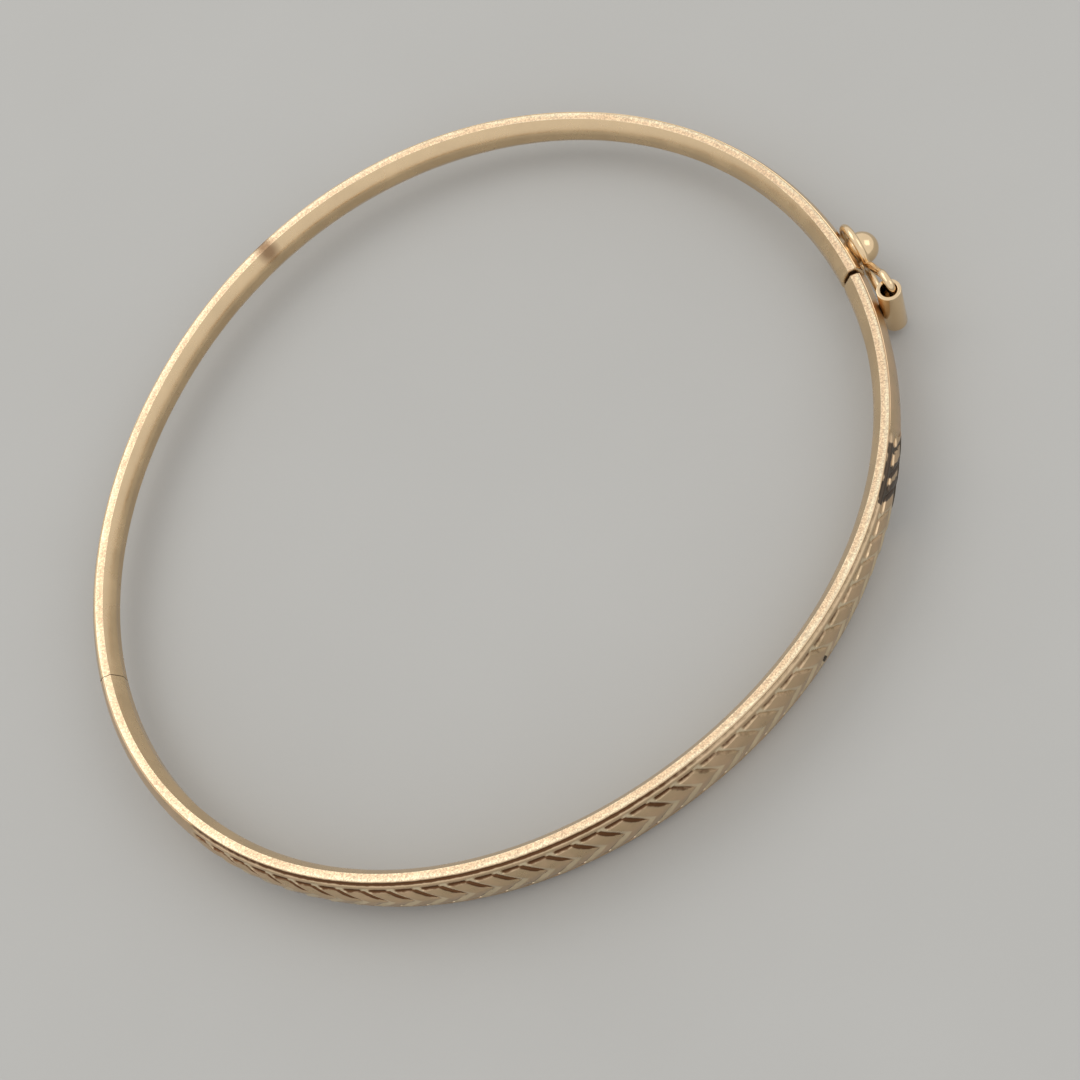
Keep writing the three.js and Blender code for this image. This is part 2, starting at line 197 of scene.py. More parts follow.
def make_camera():
    data = bpy.data.cameras.new("camera")
    data.lens = CAMERA_LENS
    data.sensor_width = 36.0
    data.clip_start = 0.01
    data.clip_end = 10.0
    camera = bpy.data.objects.new("camera", data)
    bpy.context.scene.collection.objects.link(camera)
    away = Vector((
        math.cos(CAMERA_ELEVATION) * math.cos(CAMERA_AZIMUTH),
        math.cos(CAMERA_ELEVATION) * math.sin(CAMERA_AZIMUTH),
        math.sin(CAMERA_ELEVATION),
    ))
    right = away.cross(Vector((0, 0, -1))).normalized()
    up = away.cross(right)
    c, s = math.cos(CAMERA_ROLL), math.sin(CAMERA_ROLL)
    across = right * c + up * s
    upright = up * c - right * s
    aim = Vector(CENTRE) + Vector((*CAMERA_AIM, 0)) * MM
    turn = Matrix((across, upright, away)).transposed()
    camera.matrix_world = Matrix.Translation(aim + away * CAMERA_DISTANCE * MM) @ turn.to_4x4()
    bpy.context.scene.camera = camera


# ---------------------------------------------------------------- shader helpers

def new_material(name):
    material = bpy.data.materials.new(name)
    material.use_nodes = True
    nodes = material.node_tree.nodes
    nodes.clear()
    output = nodes.new("ShaderNodeOutputMaterial")
    shader = nodes.new("ShaderNodeBsdfPrincipled")
    material.node_tree.links.new(shader.outputs["BSDF"], output.inputs["Surface"])
    return material, nodes, material.node_tree.links, shader


def object_coordinates(nodes, links, stretch=(1, 1, 1)):
    coordinates = nodes.new("ShaderNodeTexCoord")
    mapping = nodes.new("ShaderNodeMapping")
    mapping.inputs["Scale"].default_value = stretch
    links.new(coordinates.outputs["Object"], mapping.inputs["Vector"])
    return mapping.outputs["Vector"]


def noise(nodes, links, vector, grain, detail=4.0, rough=0.55):
    """Noise whose features are about `grain` millimetres across."""
    texture = nodes.new("ShaderNodeTexNoise")
    texture.inputs["Scale"].default_value = 1.0 / (grain * MM)
    texture.inputs["Detail"].default_value = detail
    texture.inputs["Roughness"].default_value = rough
    links.new(vector, texture.inputs["Vector"])
    return texture.outputs["Fac"]


def ramp(nodes, links, value, stops):
    node = nodes.new("ShaderNodeValToRGB")
    elements = node.color_ramp.elements
    while len(elements) < len(stops):
        elements.new(0.5)
    for element, (position, colour) in zip(elements, stops):
        element.position = position
        element.color = (*colour, 1)
    links.new(value, node.inputs["Fac"])
    return node.outputs["Color"]


def spread(nodes, links, value, low, high, out_low, out_high):
    node = nodes.new("ShaderNodeMapRange")
    for name, number in (("From Min", low), ("From Max", high), ("To Min", out_low), ("To Max", out_high)):
        node.inputs[name].default_value = number
    links.new(value, node.inputs["Value"])
    return node.outputs["Result"]


def added(nodes, links, first, second):
    node = nodes.new("ShaderNodeMath")
    node.operation = "ADD"
    links.new(first, node.inputs[0])
    links.new(second, node.inputs[1])
    return node.outputs["Value"]


def mix_colour(nodes, links, factor, first, second):
    node = nodes.new("ShaderNodeMix")
    node.data_type = "RGBA"
    for socket, value in ((node.inputs[0], factor), (node.inputs[6], first), (node.inputs[7], second)):
        if isinstance(value, (int, float)):
            socket.default_value = value
        elif isinstance(value, tuple):
            socket.default_value = (*value, 1)
        else:
            links.new(value, socket)
    return node.outputs[2]


def bump(nodes, links, height, strength, distance, under=None):
    node = nodes.new("ShaderNodeBump")
    node.inputs["Strength"].default_value = strength
    node.inputs["Distance"].default_value = distance * MM
    links.new(height, node.inputs["Height"])
    if under is not None:
        links.new(under, node.inputs["Normal"])
    return node.outputs["Normal"]


def attribute(nodes, name):
    node = nodes.new("ShaderNodeAttribute")
    node.attribute_name = name
    return node.outputs["Fac"]


def scaled(colour, factor):
    return tuple(min(1.0, factor * c) for c in colour)


# ---------------------------------------------------------------- materials

GOLD = (0.78, 0.58, 0.35)
PEACH = (0.84, 0.60, 0.38)
CREAM = (0.92, 0.76, 0.52)
# Painted shade for the cuts, the border strokes and the rounded outer corner.
CUT_SHADE = (0.12, 0.048, 0.018)
# Painted dark reflection on the leaves and border near the clasp, also used for one dark fleck.
REFLECTED_DARK = (0.055, 0.042, 0.035)
SMUDGE = (0.22, 0.12, 0.06)


def satin_gold():
    """Frosted edge faces: a sparkling grain, peach inside and creamier along the outer rim and on the thin
    inner edge, the cream being painted highlight.
    """
    material, nodes, links, shader = new_material("satin_gold")
    vector = object_coordinates(nodes, links)
    grain = noise(nodes, links, vector, 0.13, 2.0, 0.7)
    dents = noise(nodes, links, vector, 0.5, 2.0)
    patches = noise(nodes, links, vector, 3.0, 3.0)
    sparkle = ((0.36, 0.7), (0.52, 0.96), (0.68, 1.3))
    peach, cream = [
        ramp(nodes, links, grain, [(place, scaled(tone, factor)) for place, factor in sparkle])
        for tone in (PEACH, CREAM)
    ]
    drift = spread(nodes, links, patches, 0.3, 0.7, -0.25, 0.25)
    # The rim attribute carries painted highlight: cream on the inner edge and towards the outer rim.
    across = added(nodes, links, attribute(nodes, "rim"), drift)
    tone = mix_colour(nodes, links, spread(nodes, links, across, 0.45, 0.85, 0.0, 0.8), peach, cream)
    links.new(mix_colour(nodes, links, attribute(nodes, "smudge"), tone, SMUDGE), shader.inputs["Base Color"])
    shader.inputs["Metallic"].default_value = 1.0
    links.new(spread(nodes, links, patches, 0.35, 0.7, 0.42, 0.34), shader.inputs["Roughness"])
    coarse = bump(nodes, links, dents, 0.4, 0.05)
    links.new(bump(nodes, links, grain, 0.8, 0.04, coarse), shader.inputs["Normal"])
    return material


def polished_gold(name, base, rough_low=0.2, rough_high=0.32):
    """Polished wrist side, plain outer face and catch: soft wear, hairline scratches and faint smears."""
    material, nodes, links, shader = new_material(name)
    smears = noise(nodes, links, object_coordinates(nodes, links), 2.5, 4.0)
    scratches = noise(nodes, links, object_coordinates(nodes, links, (1, 1, 14)), 0.9, 6.0, 0.7)
    tone = ramp(nodes, links, smears, [(0.3, scaled(base, 0.93)), (0.7, scaled(base, 1.07))])
    links.new(mix_colour(nodes, links, attribute(nodes, "smudge"), tone, SMUDGE), shader.inputs["Base Color"])
    shader.inputs["Metallic"].default_value = 1.0
    links.new(spread(nodes, links, smears, 0.3, 0.7, rough_low, rough_high), shader.inputs["Roughness"])
    waves = bump(nodes, links, smears, 0.25, 0.05)
    links.new(bump(nodes, links, scratches, 0.25, 0.004, waves), shader.inputs["Normal"])
    return material


def engraved_gold():
    """Engraved face: polished leaves with painted highlight on their bright facets, painted shade in the
    cuts, and a painted dark reflection on the leaves near the clasp.
    """
    material, nodes, links, shader = new_material("engraved_gold")
    vector = object_coordinates(nodes, links)
    smears = noise(nodes, links, vector, 1.2, 4.0)
    fine = noise(nodes, links, vector, 0.14, 4.0)
    patchy = spread(nodes, links, noise(nodes, links, vector, 0.4, 3.0), 0.3, 0.7, -0.18, 0.18)
    dull = ramp(nodes, links, smears, [(0.3, scaled(GOLD, 0.78)), (0.7, scaled(PEACH, 0.86))])
    # bright is painted highlight on the leaf facets that face the light.
    bright = ramp(nodes, links, smears, [(0.3, scaled(CREAM, 0.84)), (0.7, scaled(CREAM, 0.98))])
    tone = mix_colour(nodes, links, attribute(nodes, "shine"), dull, bright)
    # Painted shade in the cuts, strokes and outer corner, made patchy.
    cut_shade_mask = added(nodes, links, attribute(nodes, "cut"), patchy)
    tone = mix_colour(nodes, links, spread(nodes, links, cut_shade_mask, 0.15, 0.7, 0.0, 0.96), tone, CUT_SHADE)
    # Painted dark reflection near the clasp, and one dark fleck.
    reflection_and_fleck_mask = added(nodes, links, attribute(nodes, "reflection_and_fleck"), patchy)
    tone = mix_colour(nodes, links, spread(nodes, links, reflection_and_fleck_mask, 0.4, 0.6, 0.0, 0.92), tone, REFLECTED_DARK)
    links.new(tone, shader.inputs["Base Color"])
    shader.inputs["Metallic"].default_value = 1.0
    links.new(spread(nodes, links, smears, 0.3, 0.7, 0.26, 0.38), shader.inputs["Roughness"])
    links.new(bump(nodes, links, fine, 0.35, 0.01), shader.inputs["Normal"])
    return material


def filed_gold(name, base, rough_low, rough_high):
    """Fittings left from the file: fine marks along the height and a duller tone."""
    material, nodes, links, shader = new_material(name)
    marks = noise(nodes, links, object_coordinates(nodes, links, (1, 1, 9)), 0.25, 5.0, 0.65)
    tone = ramp(nodes, links, marks, [(0.3, scaled(base, 0.8)), (0.7, scaled(base, 1.1))])
    links.new(tone, shader.inputs["Base Color"])
    shader.inputs["Metallic"].default_value = 1.0
    links.new(spread(nodes, links, marks, 0.3, 0.7, rough_low, rough_high), shader.inputs["Roughness"])
    links.new(bump(nodes, links, marks, 0.5, 0.01), shader.inputs["Normal"])
    return material


def pale_floor():
    material, nodes, links, shader = new_material("pale_floor")
    vector = object_coordinates(nodes, links)
    cloudy = noise(nodes, links, vector, 25.0, 3.0)
    tooth = noise(nodes, links, vector, 0.5, 3.0)
    pale = [(0.3, (0.452, 0.442, 0.415)), (0.7, (0.465, 0.455, 0.428))]
    links.new(ramp(nodes, links, cloudy, pale), shader.inputs["Base Color"])
    shader.inputs["Roughness"].default_value = 0.9
    shader.inputs["Specular IOR Level"].default_value = 0.2
    links.new(bump(nodes, links, tooth, 0.15, 0.05), shader.inputs["Normal"])
    return material


MATERIALS = {
    "satin": satin_gold(),
    "polished": polished_gold("polished_gold", scaled(GOLD, 0.9)),
    "catch": polished_gold("catch_gold", scaled(GOLD, 1.04), 0.12, 0.22),
    "engraved": engraved_gold(),
    "filed": filed_gold("filed_gold", scaled(GOLD, 0.85), 0.3, 0.45),
    # Dark base: painted shade on the end faces and end plates in the gaps between the halves.
    "ends": filed_gold("painted_shade_ends", (0.20, 0.11, 0.05), 0.4, 0.55),
}


# ---------------------------------------------------------------- mesh helpers

def mesh_object(name, vertices, faces, materials, face_materials=None, smooth=True):
    data = bpy.data.meshes.new(name)
    data.from_pydata([tuple(v) for v in vertices], [], [tuple(f) for f in faces])
    for key in materials:
        data.materials.append(MATERIALS[key])
    if face_materials is not None:
        data.polygons.foreach_set("material_index", face_materials)
    data.polygons.foreach_set("use_smooth", [smooth] * len(data.polygons))
    made = bpy.data.objects.new(name, data)
    bpy.context.scene.collection.objects.link(made)
    return made


def add_attribute(thing, name, values):
    layer = thing.data.attributes.new(name, "FLOAT", "POINT")
    layer.data.foreach_set("value", np.asarray(values, np.float32).reshape(-1))


def apply_modifiers(thing):
    bpy.context.view_layer.update()
    depsgraph = bpy.context.evaluated_depsgraph_get()
    data = bpy.data.meshes.new_from_object(thing.evaluated_get(depsgraph), depsgraph=depsgraph)
    old = thing.data
    thing.modifiers.clear()
    thing.data = data
    data.name = thing.name
    bpy.data.meshes.remove(old)


def combine(thing, tool, operation):
    """Joins or cuts a mesh with another one, which is used up."""
    modifier = thing.modifiers.new(operation.lower(), "BOOLEAN")
    modifier.operation = operation
    modifier.solver = "EXACT"
    modifier.object = tool
    apply_modifiers(thing)
    bpy.data.objects.remove(tool)


def finish_mesh(thing, sharp_degrees):
    """Turns faces outwards and keeps steep edges hard under smooth shading."""
    limit = math.radians(sharp_degrees)
    work = bmesh.new()
    work.from_mesh(thing.data)
    bmesh.ops.recalc_face_normals(work, faces=work.faces)
    for edge in work.edges:
        if len(edge.link_faces) == 2 and edge.calc_face_angle(0.0) > limit:
            edge.smooth = False
    work.to_mesh(thing.data)
    work.free()


def stand_in(thing, node, body):
    """Puts a finished mesh on its body in place of a CAD node."""
    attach(thing, body)
    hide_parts(node)


def ring_faces(rings, count, closed=False):
    """Faces between rings of `count` points; `closed` joins the last ring to the first."""
    faces = []
    for ring in range(rings if closed else rings - 1):
        here = ring * count
        following = (ring + 1) % rings * count
        for i in range(count):
            beside = (i + 1) % count
            faces.append((here + i, here + beside, following + beside, following + i))
    return faces


def swept_faces(rings, count):
    """Faces of a closed outline of `count` points swept through `rings` stations, with end caps."""
    first_cap = tuple(range(count))
    last_cap = tuple((rings - 1) * count + k for k in range(count))[::-1]
    return ring_faces(rings, count) + [first_cap, last_cap]


# ---------------------------------------------------------------- engraving

def smooth_step(x):
    x = np.clip(x, 0, 1)
    return x * x * (3 - 2 * x)


def leaf_roots():
    """Arc angles where the leaf cuts meet the border, stepped off along the band."""
    roots = [LEAF_FIRST]
    while len(roots) <= LEAF_COUNT:
        angle = roots[-1]
        pitch = LEAF_PITCH_END + (LEAF_PITCH_FRONT - LEAF_PITCH_END) * max(0.0, -math.sin(angle))
        half_step = pitch / float(arc_per_radian(angle)) / 2
        roots.append(angle - pitch / float(arc_per_radian(angle - half_step)))
    return roots


def leaf_relief(column, reach):
    """Relief, painted shade and painted highlight of a leaf; `column` runs 0 to 1 from one cut to the next,
    `reach` 1 to 0 from the border to the middle of the band."""
    deep = CUT_DEPTH * (0.2 + 0.8 * smooth_step(reach / 0.45) * (1 - 0.2 * reach))
    wall = -deep * (1 - column / CUT_WALL)
    plane = LEAF_CREST * smooth_step((column - CUT_WALL) / (LEAF_CREST_AT - CUT_WALL))
    fall = (column - LEAF_CREST_AT) / (1 - LEAF_CREST_AT)
    facet = LEAF_CREST * (1 - fall) - deep * np.maximum(fall, 0) ** 2
    relief = np.where(column < CUT_WALL, wall, np.where(column < LEAF_CREST_AT, plane, facet))
    width = 0.25 * smooth_step(reach / 0.5) * (1 - 0.35 * reach)
    # Painted shade on the steep wall of each cut and at the foot of the next one.
    dark = np.clip(1.5 * (1 - column / (width + 1e-3)), 0, 1) * smooth_step(reach / 0.12)
    dark = np.maximum(dark, 0.6 * np.clip((column - 0.95) / 0.05, 0, 1) * smooth_step(reach / 0.3))
    # Painted highlight on the broad facet of each leaf.
    shine = smooth_step((column - LEAF_CREST_AT + 0.04) / 0.08) * smooth_step((1.0 - column) / 0.06)
    return relief, dark, shine


def border_stroke(column, drop):
    """Depth fraction of the stroke that runs along the border from each cut towards the next leaf."""
    along = smooth_step(column / 0.08) * smooth_step((0.76 - column) / 0.16)
    across = np.clip(1 - np.abs(drop - BORDER) / STROKE_HALF_WIDTH, 0, 1)
    return along * np.minimum(1, 1.7 * across)


def cut_shade_strength(angle):
    """Painted shade in the cuts: darkest round the front and lighter towards the clasp and the hinge."""
    degrees = np.degrees(angle)
    return (0.2 + 0.8 * smooth_step((-74 - degrees) / 26)) * (1 - 0.4 * smooth_step((-132 - degrees) / 20))


# Leaves near the clasp painted dark as a reflection: degrees at the border, half width in degrees, strength.
# Then the degrees between which the border is painted dark as the same reflection, the place of one more dark
# fleck, and that of the brown stain on the back half, as degrees and height.
DARK_REFLECTION_LEAVES = [(-28.6, 0.8, 0.75), (-31.9, 1.0, 1.05), (-35.2, 1.25, 1.1)]
DARK_REFLECTION_BORDER = (-28.4, -37.8)
DARK_FLECK = (math.radians(-59.2), -0.95)
SMUDGE_PLACE = (103.0, 1.1)


# Painted dark reflection on the leaves and border near the clasp, plus one dark fleck.
def dark_reflection_and_fleck_at(angle, there, drop, height):
    degrees = np.degrees(angle)
    total = np.zeros_like(degrees)
    for middle, reach, strength in DARK_REFLECTION_LEAVES:
        bar = np.clip(1.5 - np.abs(degrees - middle) / reach, 0, 1) * strength
        total = np.maximum(total, bar * (drop > 0.15))
    inside = smooth_step((DARK_REFLECTION_BORDER[0] - degrees) / 0.7) * smooth_step((degrees - DARK_REFLECTION_BORDER[1]) / 0.7)
    band = inside * np.clip(1 - np.abs(drop - 0.4) / 0.35, 0, 1) * 1.15
    fleck = 1.5 - np.hypot((there - DARK_FLECK[0]) / 0.007, (height - DARK_FLECK[1]) / 0.35)
    return np.maximum(np.maximum(total, band), np.clip(fleck, 0, 1))


def smudge_at(angle, height):
    """A brown stain over the upper edge and wall of the back half."""
    away = np.hypot((np.degrees(angle) - SMUDGE_PLACE[0]) / 1.5, (height - SMUDGE_PLACE[1]) / 0.6)
    return 0.8 * np.clip(1.5 - away, 0, 1)


# ---------------------------------------------------------------- shells

def section_rows():
    """Rows of the outer half outline from the upper lip to the middle, as (kind, value) pairs."""
    rows = [("shoulder", rise) for rise in np.linspace(0, 0.985, 12)]
    rows += [("satin", f) for f in (0.0, 0.1, 0.3, 0.5, 0.65, 0.8, 1.0)]
    rows += [("corner", f) for f in (0.33, 0.67, 1.0)]
    drops = (0.07, 0.09, 0.115, 0.14, 0.165, 0.19, 0.22, 0.25, 0.29, 0.33, 0.38, 0.42, 0.46, 0.51, 0.55, 0.59)
    rows += [("drop", d) for d in drops + (0.63, 0.66, 0.69, 0.72, 0.76, 0.8)]
    rows += [("leaf", f) for f in 1 - np.linspace(0, 1, 26) ** 1.25]
    return rows


ROWS = section_rows()
SHOULDER_ROWS = sum(kind == "shoulder" for kind, _ in ROWS)
SATIN_ROWS = sum(kind == "satin" for kind, _ in ROWS) - 1
COLUMNS = (0.0, 0.03, 0.065, 0.1, 0.15, 0.2, 0.26, 0.34, 0.44)
COLUMNS += (0.54, 0.62, 0.68, 0.72, 0.76, 0.82, 0.88, 0.94, 0.97)


def outer_half(angle, column, engraved):
    """Upper half of the outer outline at every station: arrays of stations by rows."""
    half = half_height(angle)
    lean = engraved * LEAF_LEAN / arc_per_radian(angle)
    strength = cut_shade_strength(angle) * engraved
    # Painted shade in the border strokes, stronger round the front.
    stroke_dark = smooth_step((-46 - np.degrees(angle)) / 10) * (0.35 + 0.65 * strength) * engraved
    layers = []
    for kind, value in ROWS:
        there = angle
        cut = np.zeros_like(angle)
        shine = np.zeros_like(angle)
        rim = 0.0
        if kind == "shoulder":
            depth = EDGE_IN * value ** SHOULDER_BEND + 0 * angle
            height = half - SHOULDER_DROP * (1 - value)
        elif kind == "satin":
            depth = EDGE_IN + (EDGE_OUT - CORNER - EDGE_IN) * value + 0 * angle
            height = half + 0 * angle
            # rim carries painted highlight: full on the inner edge, growing towards the outer rim.
            rim = 1.0 if value == 0 else value
        elif kind == "corner":
            depth = EDGE_OUT - CORNER + CORNER * math.sin(value * math.pi / 2) + 0 * angle
            height = half - CORNER + CORNER * math.cos(value * math.pi / 2)
            # rim carries painted highlight on the rounded corner.
            rim = 1.0
            # Painted shadow along the rounded outer corner.
            cut = 0.8 * value * strength
        elif kind == "drop":
            height = half - value
            line = max(0.0, 1 - abs(value - LINE_DROP) / LINE_HALF_WIDTH)
            bead = max(0.0, 1 - ((value - BEAD_DROP) / BEAD_HALF_WIDTH) ** 2)
            stroke = border_stroke(column, value)
            relief = BEAD_RISE * bead - LINE_DEPTH * line - STROKE_DEPTH * stroke
            depth = crown_depth(height, half) + engraved * relief
            # Painted shade in the engraved line and the border strokes.
            cut = np.maximum(min(1.0, 2.2 * line) * strength, stroke * stroke_dark)
            # Painted highlight on the leaf ridges and faintly on the bead.
            ridge = leaf_relief(column, 1.0)[2] * smooth_step((value - 0.45) / 0.2)
            shine = np.maximum(0.12 * bead, ridge) * engraved
        else:
            there = angle + lean * (1 - value)
            half_there = half_height(there)
            height = value * (half_there - BORDER)
            stroke = border_stroke(column, half_there - height)
            leaf, dark, shine = leaf_relief(column, value)
            shine = shine * engraved
            relief = np.minimum(leaf, leaf * 0.5 - STROKE_DEPTH * stroke) if value > 0.9 else leaf
            depth = crown_depth(height, half_there) + engraved * relief
            # Painted shade in the cut walls and the border strokes.
            cut = np.maximum(dark * np.maximum(strength, 0.5 * stroke_dark), stroke * stroke_dark)
        layers.append((there, depth, height, cut, shine, rim + 0 * angle))
    return [np.stack(values, -1) for values in zip(*layers)]


def inner_half(half):
    """Hollow side of the section from the middle to the upper lip: depths and heights."""
    side = half - SHEET
    shares = (0.0, 0.35, 0.65)
    depths = [crown_depth(f * side, half) - SHEET for f in shares]
    heights = [f * side for f in shares]
    depths += [EDGE_OUT - SHEET / 3 + 0 * half, EDGE_IN + SHEET / 3 + 0 * half, SHEET + 0 * half]
    heights += [side, side, half - SHOULDER_DROP]
    return np.stack(depths, -1), np.stack(heights, -1)


def clasp_end_steps():
    """Arc angles, in radians from the clasp gap, of the rounded end of a half."""
    steps = END_ROUNDING * (1 - np.cos(np.linspace(0, math.pi / 2, 7)))
    return math.radians(CLASP_HALF_GAP) + steps / float(arc_per_radian(0.0))


def end_inset(angle):
    """How far the section draws in near the clasp gap, to round the end of the half."""
    from_gap = (np.abs(angle) - math.radians(CLASP_HALF_GAP)) * arc_per_radian(0.0)
    left = np.clip(END_ROUNDING - from_gap, 0, END_ROUNDING)
    return END_ROUNDING - np.sqrt(END_ROUNDING ** 2 - left ** 2)


def front_stations():
    """Arc angle, leaf column and engraving fade from the clasp end to the hinge end."""
    roots = leaf_roots()
    ends = -clasp_end_steps()
    plain = np.linspace(ends[-1], roots[0], 60)[1:-1]
    stations = [(a, 0.5, 0.0) for a in np.concatenate([ends, plain])]
    for root, following in zip(roots, roots[1:]):
        for column in COLUMNS:
            stations.append((root + (following - root) * column, column, 1.0))
    hinge_end = -math.pi + math.radians(HINGE_HALF_GAP)
    stations += [(a, 0.5, 0.0) for a in np.linspace(roots[-1], hinge_end, 60)]
    angle, column, engraved = np.array(stations).T
    fade = smooth_step((roots[0] - angle) / 0.03) * smooth_step((angle - roots[-1]) / 0.03)
    return angle, column, engraved * fade


def back_stations():
    ends = clasp_end_steps()
    rest = np.linspace(ends[-1], math.pi - math.radians(HINGE_HALF_GAP), 420)[1:]
    angle = np.concatenate([ends, rest])
    return angle, 0.5 + 0 * angle, 0 * angle


def build_shell(name, stations, face_key):
    """Closed shell swept through the stations; face, satin, shoulder and hollow side told apart."""
    angle, column, engraved = stations
    there, depth, height, cut, shine, rim = outer_half(angle, column, engraved)
    inset = end_inset(angle)[:, None]
    depth = depth + inset * np.sign(EDGE_IN - depth) * np.minimum(1, np.abs(EDGE_IN - depth) / 0.2)
    height = height - inset * np.minimum(1, height / 0.4)
    upper_depth, upper_height = inner_half(half_height(angle))
    upper_height = np.minimum(upper_height, half_height(angle)[:, None] - SHEET)

    def whole(upper, hollow, sign=1):
        lower = sign * upper[:, -2::-1]
        hollow_lower = sign * hollow[:, :0:-1]
        return np.concatenate([upper, lower, hollow_lower, hollow], 1)

    own = np.repeat(angle[:, None], upper_depth.shape[1], 1)
    none = np.zeros_like(upper_depth)
    outline_height = whole(height, upper_height, -1)
    # Painted dark reflection near the clasp and one dark fleck.
    reflection_and_fleck = dark_reflection_and_fleck_at(
        np.repeat(angle[:, None], outline_height.shape[1], 1),
        whole(there, own),
        half_height(whole(there, own)) - np.abs(outline_height),
        outline_height,
    )
    places = band_place(whole(there, own), whole(depth, upper_depth), outline_height)
    rows, count = places.shape[:2]
    faces = swept_faces(rows, count)
    outer_count = 2 * len(ROWS) - 1
    keys = []
    for i in range(count):
        mirrored = min(i, outer_count - 2 - i)
        if i >= outer_count - 1:
            keys.append(3)
        elif mirrored < SHOULDER_ROWS:
            keys.append(2)
        elif mirrored < SHOULDER_ROWS + SATIN_ROWS:
            keys.append(1)
        else:
            keys.append(0)
    made = mesh_object(
        name, places.reshape(-1, 3), faces, [face_key, "satin", "polished", "filed", "ends"],
        keys * (rows - 1) + [4, 4],
    )
    add_attribute(made, "cut", whole(cut, none))
    add_attribute(made, "shine", whole(shine, none))
    add_attribute(made, "rim", whole(rim, none))
    add_attribute(made, "reflection_and_fleck", reflection_and_fleck)
    add_attribute(made, "smudge", smudge_at(angle[:, None], outline_height))
    finish_mesh(made, 180)
    return made


def prism(name, corners, low, high, key):
    """Upright prism on plan corners in metres, between two heights above the middle plane."""
    n = len(corners)
    floor_ring = [(x, y, CENTRE[2] + low * MM) for x, y in corners]
    roof_ring = [(x, y, CENTRE[2] + high * MM) for x, y in corners]
    made = mesh_object(name, floor_ring + roof_ring, swept_faces(2, n), [key], smooth=False)
    finish_mesh(made, 30)
    return made


def ring_corners(centre, radius, count=64):
    turns = np.linspace(0, 2 * math.pi, count, endpoint=False)
    return [(centre[0] + radius * MM * math.cos(t), centre[1] + radius * MM * math.sin(t)) for t in turns]


def cut_hinge(shell, side):
    """Cuts the knuckle pocket and the bevel that lets the halves open; side +1 is the front half."""
    pocket = prism("pocket", ring_corners(HINGE, POCKET_RADIUS), -POCKET_END, POCKET_END, "ends")
    combine(shell, pocket, "DIFFERENCE")
    reach = 3.0
    tip = HINGE[:2]
    edge = tip + HINGE_OUT * MM * reach
    flare = edge + HINGE_ALONG * MM * side * reach * math.tan(OPENING_HALF)
    back = edge - HINGE_ALONG * MM * side * 0.3
    combine(shell, prism("bevel", [tip, back, flare], -4, 4, "ends"), "DIFFERENCE")


def make_shells():
    front = build_shell("front_shell_engraved", front_stations(), "engraved")
    cut_hinge(front, 1)
    low, high = node_span("catch_tube")
    seat = prism("seat", ring_corners(CATCH, node_radius("catch_tube") + FIT), low - FIT, high + FIT, "ends")
    combine(front, seat, "DIFFERENCE")
    back = build_shell("back_shell_plain", back_stations(), "polished")
    cut_hinge(back, -1)
    finish_mesh(front, 50)
    finish_mesh(back, 50)
    stand_in(front, "front_shell", "front_half")
    stand_in(back, "back_shell", "back_half")


def make_liner(name, node, body, angle):
    """Wrist-side strip, flush with the lips of its shell."""
    height = half_height(angle) - SHOULDER_DROP
    inset = end_inset(angle)
    shares = np.linspace(-1, 1, 9)
    depths = [inset] * len(shares) + [LINER + inset] * 2
    heights = [share * height for share in shares] + [height, -height]
    places = band_place(angle[:, None], np.stack(depths, -1), np.stack(heights, -1))
    faces = swept_faces(*places.shape[:2])
    keys = [0] * (len(faces) - 2) + [1, 1]
    made = mesh_object(name, places.reshape(-1, 3), faces, ["polished", "ends"], keys)
    add_attribute(made, "smudge", smudge_at(angle[:, None], np.stack(heights, -1)))
    finish_mesh(made, 40)
    stand_in(made, node, body)


def make_liners():
    ends = clasp_end_steps()
    rest = np.linspace(ends[-1], math.pi - math.radians(HINGE_HALF_GAP), 300)[1:]
    angle = np.concatenate([ends, rest])
    make_liner("back_liner_smooth", "back_liner", "back_half", angle)
    make_liner("front_liner_smooth", "front_liner", "front_half", -angle)


# ---------------------------------------------------------------- fittings

def node_span(node):
    """Height range of a CAD node in millimetres about the band's middle plane."""
    low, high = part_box(node)
    return (low.z - CENTRE[2]) / MM, (high.z - CENTRE[2]) / MM


def node_radius(node):
    low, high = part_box(node)
    return (high.x - low.x) / 2 / MM


def tube_profile(outer, bore, low, high, rounding):
    """Section of a tube wall with rounded rims, as (radius, height) pairs."""
    arc = np.linspace(0, math.pi / 2, 5)
    r = rounding
    corners = [
        (outer - r, high - r, 0.0), (bore + r, high - r, math.pi / 2),
        (bore + r, low + r, math.pi), (outer - r, low + r, 1.5 * math.pi),
    ]
    return [
        (x + r * math.cos(start + t), y + r * math.sin(start + t))
        for x, y, start in corners for t in arc
    ]


def upright_tube(name, centre, profile, steps, key):
    """Tube wall section turned about an upright axis."""
    vertices = []
    for turn in np.linspace(0, 2 * math.pi, steps, endpoint=False):
        for radius, height in profile:
            x = centre[0] + radius * MM * math.cos(turn)
            y = centre[1] + radius * MM * math.sin(turn)
            vertices.append((x, y, CENTRE[2] + height * MM))
    made = mesh_object(name, vertices, ring_faces(steps, len(profile), closed=True), [key])
    finish_mesh(made, 60)
    return made


